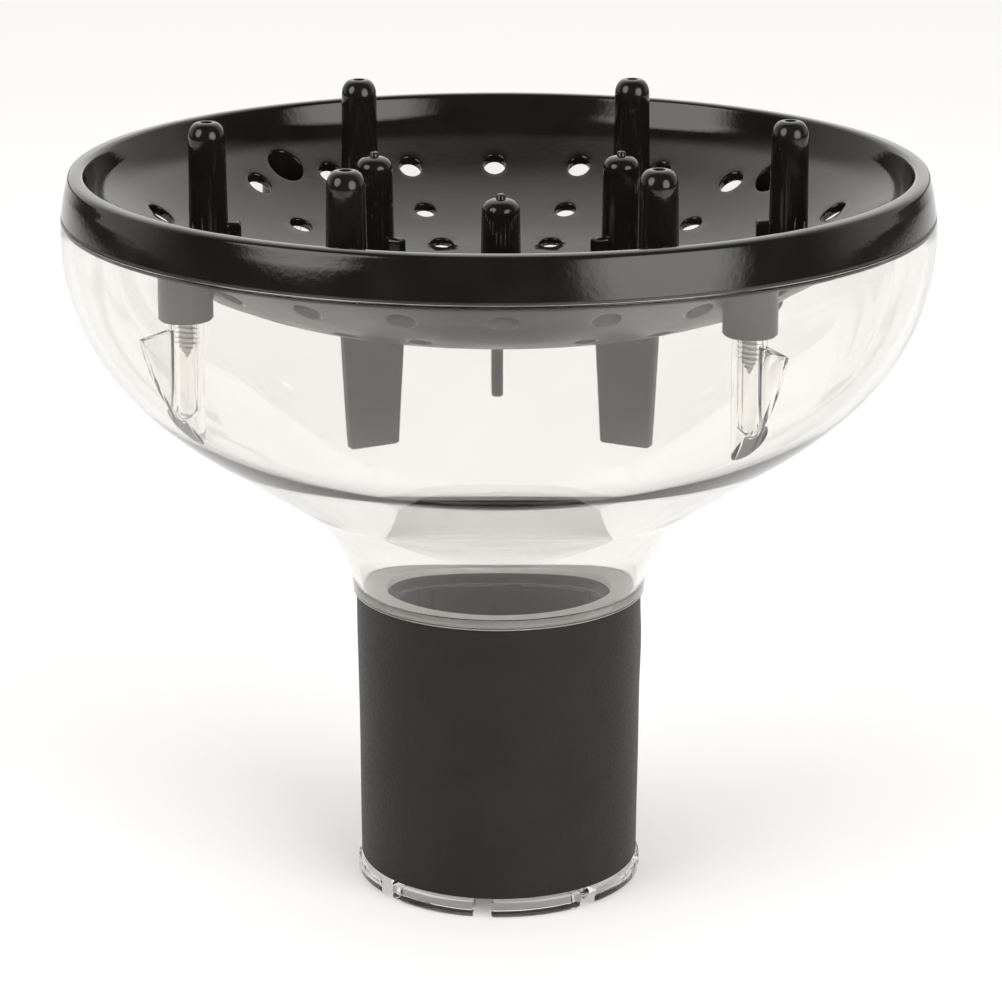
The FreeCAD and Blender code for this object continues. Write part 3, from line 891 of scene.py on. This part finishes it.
def screw(shell, angle):
    """A pan-head screw with a cross recess and a helical thread."""
    centre = polar(SCREW_CIRCLE, angle)
    top = SEAT_Z + HEAD_HEIGHT
    turns = 48
    head = []
    for t in (0, 0.3, 0.6, 0.9, 1.15):
        head.append((HEAD_R * math.cos(t) ** 0.5, top - HEAD_HEIGHT * 0.62 * (1 - math.sin(t))))
    rows = [(2.05, top)] + head[::-1]
    rows += [(HEAD_R, SEAT_Z + 0.15), (HEAD_R - 0.15, SEAT_Z), (THREAD_R, SEAT_Z)]
    rings = []
    for share, depth in ((0.25, 1.35), (0.75, 1.2), (0.92, 0.5), (1.0, 0.05)):
        rings.append(shell.ring(cross_ring(centre, CROSS_REACH * share, depth, top, turns)))
    rings += [shell.ring(loop(centre, r, z, turns)) for r, z in rows]
    z = SEAT_Z - 0.1
    while z > POINT_Z + 0.05:
        ring = []
        for i in range(turns):
            phase = (z / THREAD_PITCH + i / turns) % 1.0
            ridge = max(0.0, 1 - abs(phase - 0.5) * 4.2)
            taper = min(1.0, (z - POINT_Z) / 2.6)
            radius = (THREAD_CORE_R + (THREAD_R - THREAD_CORE_R) * ridge) * taper ** 0.8
            x, y = polar(radius, 360.0 * i / turns)
            ring.append((x + centre[0], y + centre[1], z))
        rings.append(shell.ring(ring))
        z -= THREAD_PITCH / 12
    shell.bands(rings)
    shell.cap(rings[0], (*centre, top - 1.4))
    shell.cap(rings[-1], (*centre, POINT_Z))


def cross_ring(centre, reach, depth, top, count):
    """A cross-shaped ring, for the recess in a screw's head."""
    points = []
    for i in range(count):
        turn = 2 * math.pi * i / count
        arm = max(abs(math.cos(turn)), abs(math.sin(turn)))
        other = min(abs(math.cos(turn)), abs(math.sin(turn)))
        radius = min(reach / arm, 0.45 / max(other, 1e-6))
        x, y = radius * math.cos(turn), radius * math.sin(turn)
        points.append((centre[0] + x, centre[1] + y, top - depth))
    return points


def plate_screws():
    shell = Shell()
    for angle in SCREW_ANGLES:
        screw(shell, angle)
    made = make_object("plate_screws_look", shell, (STEEL,))
    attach(made, "root")
    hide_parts("plate_screws")


# Sleeve and collet


def rubber_sleeve():
    """The sleeve, with the slight unevenness of stretched rubber."""
    profile = rounded([
        (SLEEVE_BORE_R, (SLEEVE_FOOT + SLEEVE_TOP) / 2, 0),
        (SLEEVE_BORE_R, SLEEVE_FOOT, 0.2),
        (SLEEVE_FOOT_R, SLEEVE_FOOT, 0.5),
        (SLEEVE_TOP_R, SLEEVE_TOP, 0.5),
        (SLEEVE_BORE_R, SLEEVE_TOP, 0.2),
        (SLEEVE_BORE_R, (SLEEVE_FOOT + SLEEVE_TOP) / 2 + 0.5, 0),
    ])
    lines = []
    for (r0, z0), (r1, z1) in zip(profile, profile[1:] + profile[:1]):
        count = max(1, math.ceil(math.hypot(r1 - r0, z1 - z0) / 1.2))
        lines += [(r0 + (r1 - r0) * i / count, z0 + (z1 - z0) * i / count) for i in range(count)]
    shell = Shell()
    rings = []
    for r, z in lines:
        ring = []
        for x, y, _ in circle(r, z, 240):
            a = math.atan2(y, x)
            share = (z - SLEEVE_FOOT) / (SLEEVE_TOP - SLEEVE_FOOT)
            wave = 0.05 * math.sin(3 * a + 5 * share) + 0.04 * math.sin(7 * a - 9 * share)
            bulge = 0.45 * math.exp(-((a - 0.1) / 0.25) ** 2 - ((share - 0.8) / 0.14) ** 2)
            grow = 1 + (wave + bulge) / r if r > SLEEVE_BORE_R + 0.4 else 1
            ring.append((x * grow, y * grow, z))
        rings.append(shell.ring(ring))
    shell.bands(rings + rings[:1])
    made = make_object("rubber_sleeve_look", shell, (RUBBER,))
    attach(made, "root")
    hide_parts("rubber_sleeve")


def finger_section(middle, inner_r, outer_r, z, inset=0.0, corner=0.3):
    """A finger's level section between two slots, with rounded corners."""
    half_slot = SLOT_WIDTH / 2 + inset
    span = math.pi / FINGER_COUNT

    def edge(radius, side):
        lean = span - math.asin(half_slot / radius)
        return side * lean

    def side_point(radius, side):
        lean = edge(radius, side)
        return radius * math.cos(lean), radius * math.sin(lean)

    points = []
    outer_half = edge(outer_r, 1) - corner / outer_r
    inner_half = edge(inner_r, 1) - corner / inner_r
    for i in range(25):
        lean = outer_half * (2 * i / 24 - 1)
        points.append((outer_r * math.cos(lean), outer_r * math.sin(lean)))
    x, y = side_point(outer_r - 0.29 * corner, 1)
    points.append((x - 0.09 * corner, y - 0.2 * corner))
    points.append(side_point(outer_r - corner, 1))
    points.append(side_point(inner_r + corner, 1))
    x, y = side_point(inner_r + 0.29 * corner, 1)
    points.append((x, y - 0.2 * corner))
    for i in range(25):
        lean = inner_half * (1 - 2 * i / 24)
        points.append((inner_r * math.cos(lean), inner_r * math.sin(lean)))
    x, y = side_point(inner_r + 0.29 * corner, -1)
    points.append((x, y + 0.2 * corner))
    points.append(side_point(inner_r + corner, -1))
    points.append(side_point(outer_r - corner, -1))
    x, y = side_point(outer_r - 0.29 * corner, -1)
    points.append((x - 0.09 * corner, y + 0.2 * corner))
    turn = math.radians(middle)
    c, s = math.cos(turn), math.sin(turn)
    return [(x * c - y * s, x * s + y * c, z) for x, y in points]


def collet_finger(number):
    """One clear finger of the collet, with its bevelled lip."""
    middle = SLOT_PHASE + 360.0 / FINGER_COUNT * (number - 0.5)
    body_z = LIP_TOP + 0.3
    rows = [
        (BARREL_R + LIP_CHAMFER + 0.15, LIP_R - LIP_CHAMFER - 0.15, 0.0, 0.25),
        (BARREL_R + LIP_CHAMFER, LIP_R - LIP_CHAMFER, 0.06, 0.1),
        (BARREL_R + 0.1, LIP_R - 0.1, LIP_CHAMFER - 0.08, 0.0),
        (BARREL_R, LIP_R, LIP_CHAMFER + 0.1, 0.0),
        (BARREL_R, LIP_R, LIP_TOP - 0.2, 0.0),
        (BARREL_R, LIP_R - 0.06, LIP_TOP - 0.06, 0.0),
        (BARREL_R, LIP_R - 0.2, LIP_TOP, 0.0),
        (BARREL_R, FINGER_TIP_R + 0.3, LIP_TOP, 0.0),
        (BARREL_R, FINGER_TIP_R + 0.09, body_z - 0.21, 0.0),
        (BARREL_R, FINGER_TIP_R, body_z, 0.0),
    ]
    for share in (0.2, 0.4, 0.6, 0.8, 0.97):
        z = body_z + (FINGER_TOP - body_z) * share
        rows.append((BARREL_R, FINGER_TIP_R + (FINGER_ROOT_R - FINGER_TIP_R) * share, z, 0.0))
    rows.append((BARREL_R + 0.15, FINGER_ROOT_R - 0.15, FINGER_TOP, 0.15))
    shell = Shell()
    rings = [shell.ring(finger_section(middle, *row)) for row in rows]
    shell.bands(rings)
    for ring in (rings[0], rings[-1]):
        close_section(shell, ring)
    name = f"collet_finger_{number}"
    made = make_object(name + "_look", shell, (CLEAR,))
    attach(made, name)
    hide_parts(name)


def close_section(shell, ring):
    """Quads across a finger's section, from its outer side to its inner side."""
    outer = ring[-2:] + ring[:27]
    inner = ring[27:-2][::-1]
    for i in range(len(outer) - 1):
        shell.face((outer[i], outer[i + 1], inner[i + 1], inner[i]), 0)


# The studio

# Lights that aren't seen themselves: azimuth, elevation, half width, half height, radiance
SOFTBOXES = (
    ("right_box", 42, 14, 24, 24, 3.8),
    ("left_box", -57, 30, 20, 20, 2.4),
    ("floor_light", 0, 89, 40, 40, 0.12),
)

# What the reflections see: where, angle that is full, angle where it fades out, radiance
GLOWS = (
    ((42, 12), 12, 26, 3.5),
    ((-55, 26), 13, 23, 3.4),
    ((180, 32), 25, 52, 0.70),
)


def floor_material():
    """A pale floor that turns white far off, where reflections see it dark, as past a lit table."""
    material, nodes, links, shader = new_material("studio_floor")
    shader.inputs["Base Color"].default_value = (0.92, 0.915, 0.905, 1)
    shader.inputs["Roughness"].default_value = 0.9
    shader.inputs["Specular IOR Level"].default_value = 0.0
    shader.inputs["Emission Color"].default_value = (1.0, 0.995, 0.985, 1)
    shader.inputs["Emission Strength"].default_value = 0.12
    dark = nodes.new("ShaderNodeEmission")
    dark.inputs["Color"].default_value = (0.06, 0.058, 0.055, 1)
    place = nodes.new("ShaderNodeTexCoord")
    distance = nodes.new("ShaderNodeVectorMath")
    distance.operation = "LENGTH"
    links.new(place.outputs["Object"], distance.inputs[0])
    fade = nodes.new("ShaderNodeMapRange")
    fade.interpolation_type = "SMOOTHSTEP"
    fade.inputs["From Min"].default_value = 0.8
    fade.inputs["From Max"].default_value = 2.2
    links.new(distance.outputs["Value"], fade.inputs["Value"])
    ray = nodes.new("ShaderNodeLightPath")
    both = nodes.new("ShaderNodeMath")
    both.operation = "MULTIPLY"
    links.new(ray.outputs["Is Glossy Ray"], both.inputs[0])
    links.new(fade.outputs["Result"], both.inputs[1])
    white = nodes.new("ShaderNodeEmission")
    white.inputs["Color"].default_value = (1.0, 0.995, 0.985, 1)
    pale = nodes.new("ShaderNodeMixShader")
    links.new(fade.outputs["Result"], pale.inputs["Fac"])
    links.new(shader.outputs["BSDF"], pale.inputs[1])
    links.new(white.outputs["Emission"], pale.inputs[2])
    mix = nodes.new("ShaderNodeMixShader")
    links.new(both.outputs["Value"], mix.inputs["Fac"])
    links.new(pale.outputs["Shader"], mix.inputs[1])
    links.new(dark.outputs["Emission"], mix.inputs[2])
    links.new(mix.outputs["Shader"], nodes["Material Output"].inputs["Surface"])
    return material


def studio_floor():
    shell = Shell()
    reach = 12000.0
    corners = [(-reach, -reach, 0), (reach, -reach, 0), (reach, reach, 0), (-reach, reach, 0)]
    shell.face(shell.ring(corners), 0)
    made = make_object("studio_floor", shell, (floor_material(),))


def softbox(name, azimuth, elevation, half_width, half_height, radiance, distance=1.4):
    """A rectangular light round the object."""
    direction = facing(azimuth, elevation)
    light = bpy.data.lights.new(name, "AREA")
    light.shape = "RECTANGLE"
    light.size = 2 * distance * math.tan(math.radians(half_width))
    light.size_y = 2 * distance * math.tan(math.radians(half_height))
    light.energy = radiance * math.pi * light.size * light.size_y
    light.color = (1.0, 0.985, 0.975)
    made = bpy.data.objects.new(name, light)
    made.location = Vector((0, 0, RIM_FOOT * MM)) + direction * distance
    made.rotation_euler = direction.to_track_quat("Z", "Y").to_euler()
    made.visible_camera = False
    made.visible_transmission = False
    made.visible_glossy = False
    bpy.context.scene.collection.objects.link(made)


def facing(azimuth, elevation):
    """Azimuth 0 is the camera's side, and 90 is its right."""
    a, e = math.radians(azimuth), math.radians(elevation)
    return Vector((math.sin(a) * math.cos(e), -math.cos(a) * math.cos(e), math.sin(e)))


def glow(nodes, links, direction, centre, full, faded, strength, rest):
    """A soft round patch of light, added to the rest of what the reflections see."""
    aim = nodes.new("ShaderNodeVectorMath")
    aim.operation = "DOT_PRODUCT"
    links.new(direction, aim.inputs[0])
    aim.inputs[1].default_value = facing(*centre)
    patch = nodes.new("ShaderNodeMapRange")
    patch.interpolation_type = "SMOOTHSTEP"
    patch.inputs["From Min"].default_value = math.cos(math.radians(faded))
    patch.inputs["From Max"].default_value = math.cos(math.radians(full))
    patch.inputs["To Min"].default_value = 0.0
    patch.inputs["To Max"].default_value = strength
    links.new(aim.outputs["Value"], patch.inputs["Value"])
    total = nodes.new("ShaderNodeMath")
    total.operation = "ADD"
    links.new(patch.outputs["Result"], total.inputs[0])
    links.new(rest, total.inputs[1])
    return total.outputs["Value"]


def studio_world():
    """White to the eye and through the clear plastic. Reflections see a dim room with a lit back."""
    world = bpy.data.worlds.new("studio")
    world.use_nodes = True
    bpy.context.scene.world = world
    nodes, links = world.node_tree.nodes, world.node_tree.links
    seen = nodes["Background"]
    seen.inputs["Color"].default_value = (1.0, 0.995, 0.985, 1)
    seen.inputs["Strength"].default_value = 1.0
    place = nodes.new("ShaderNodeTexCoord")
    split = nodes.new("ShaderNodeSeparateXYZ")
    links.new(place.outputs["Generated"], split.inputs["Vector"])
    back = nodes.new("ShaderNodeMapRange")
    back.interpolation_type = "SMOOTHSTEP"
    for name, number in (("From Min", -0.05), ("From Max", 0.35), ("To Min", 0.06), ("To Max", 0.6)):
        back.inputs[name].default_value = number
    links.new(split.outputs["Y"], back.inputs["Value"])
    room = nodes.new("ShaderNodeBackground")
    room.inputs["Color"].default_value = (1.0, 0.99, 0.98, 1)
    light = back.outputs["Result"]
    for patch in GLOWS:
        light = glow(nodes, links, place.outputs["Generated"], *patch, light)
    links.new(light, room.inputs["Strength"])
    soft = nodes.new("ShaderNodeBackground")
    soft.inputs["Color"].default_value = (1.0, 0.995, 0.985, 1)
    soft.inputs["Strength"].default_value = 0.75
    ray = nodes.new("ShaderNodeLightPath")
    glossy_or_not = nodes.new("ShaderNodeMixShader")
    links.new(ray.outputs["Is Glossy Ray"], glossy_or_not.inputs["Fac"])
    links.new(soft.outputs["Background"], glossy_or_not.inputs[1])
    links.new(room.outputs["Background"], glossy_or_not.inputs[2])
    straight = nodes.new("ShaderNodeMath")
    straight.operation = "MAXIMUM"
    links.new(ray.outputs["Is Camera Ray"], straight.inputs[0])
    links.new(ray.outputs["Is Transmission Ray"], straight.inputs[1])
    mix = nodes.new("ShaderNodeMixShader")
    links.new(straight.outputs["Value"], mix.inputs["Fac"])
    links.new(glossy_or_not.outputs["Shader"], mix.inputs[1])
    links.new(seen.outputs["Background"], mix.inputs[2])
    links.new(mix.outputs["Shader"], nodes["World Output"].inputs["Surface"])


def studio():
    studio_floor()
    studio_world()
    for row in SOFTBOXES:
        softbox(*row)
    scene = bpy.context.scene
    scene.view_settings.view_transform = "Standard"
    scene.cycles.max_bounces = 24
    scene.cycles.transmission_bounces = 24
    scene.cycles.transparent_max_bounces = 24


def camera():
    data = bpy.data.cameras.new("camera")
    data.lens = 127.3
    data.sensor_width = 36.0
    data.clip_end = 50
    made = bpy.data.objects.new("camera", data)
    made.location = (-0.0088, -0.6599, 0.2690)
    made.rotation_euler = (math.radians(73.68), 0, math.radians(-0.8))
    bpy.context.scene.collection.objects.link(made)
    bpy.context.scene.camera = made


finger_plate()
clear_bell()
plate_screws()
rubber_sleeve()
for number in range(1, FINGER_COUNT + 1):
    collet_finger(number)
studio()
camera()
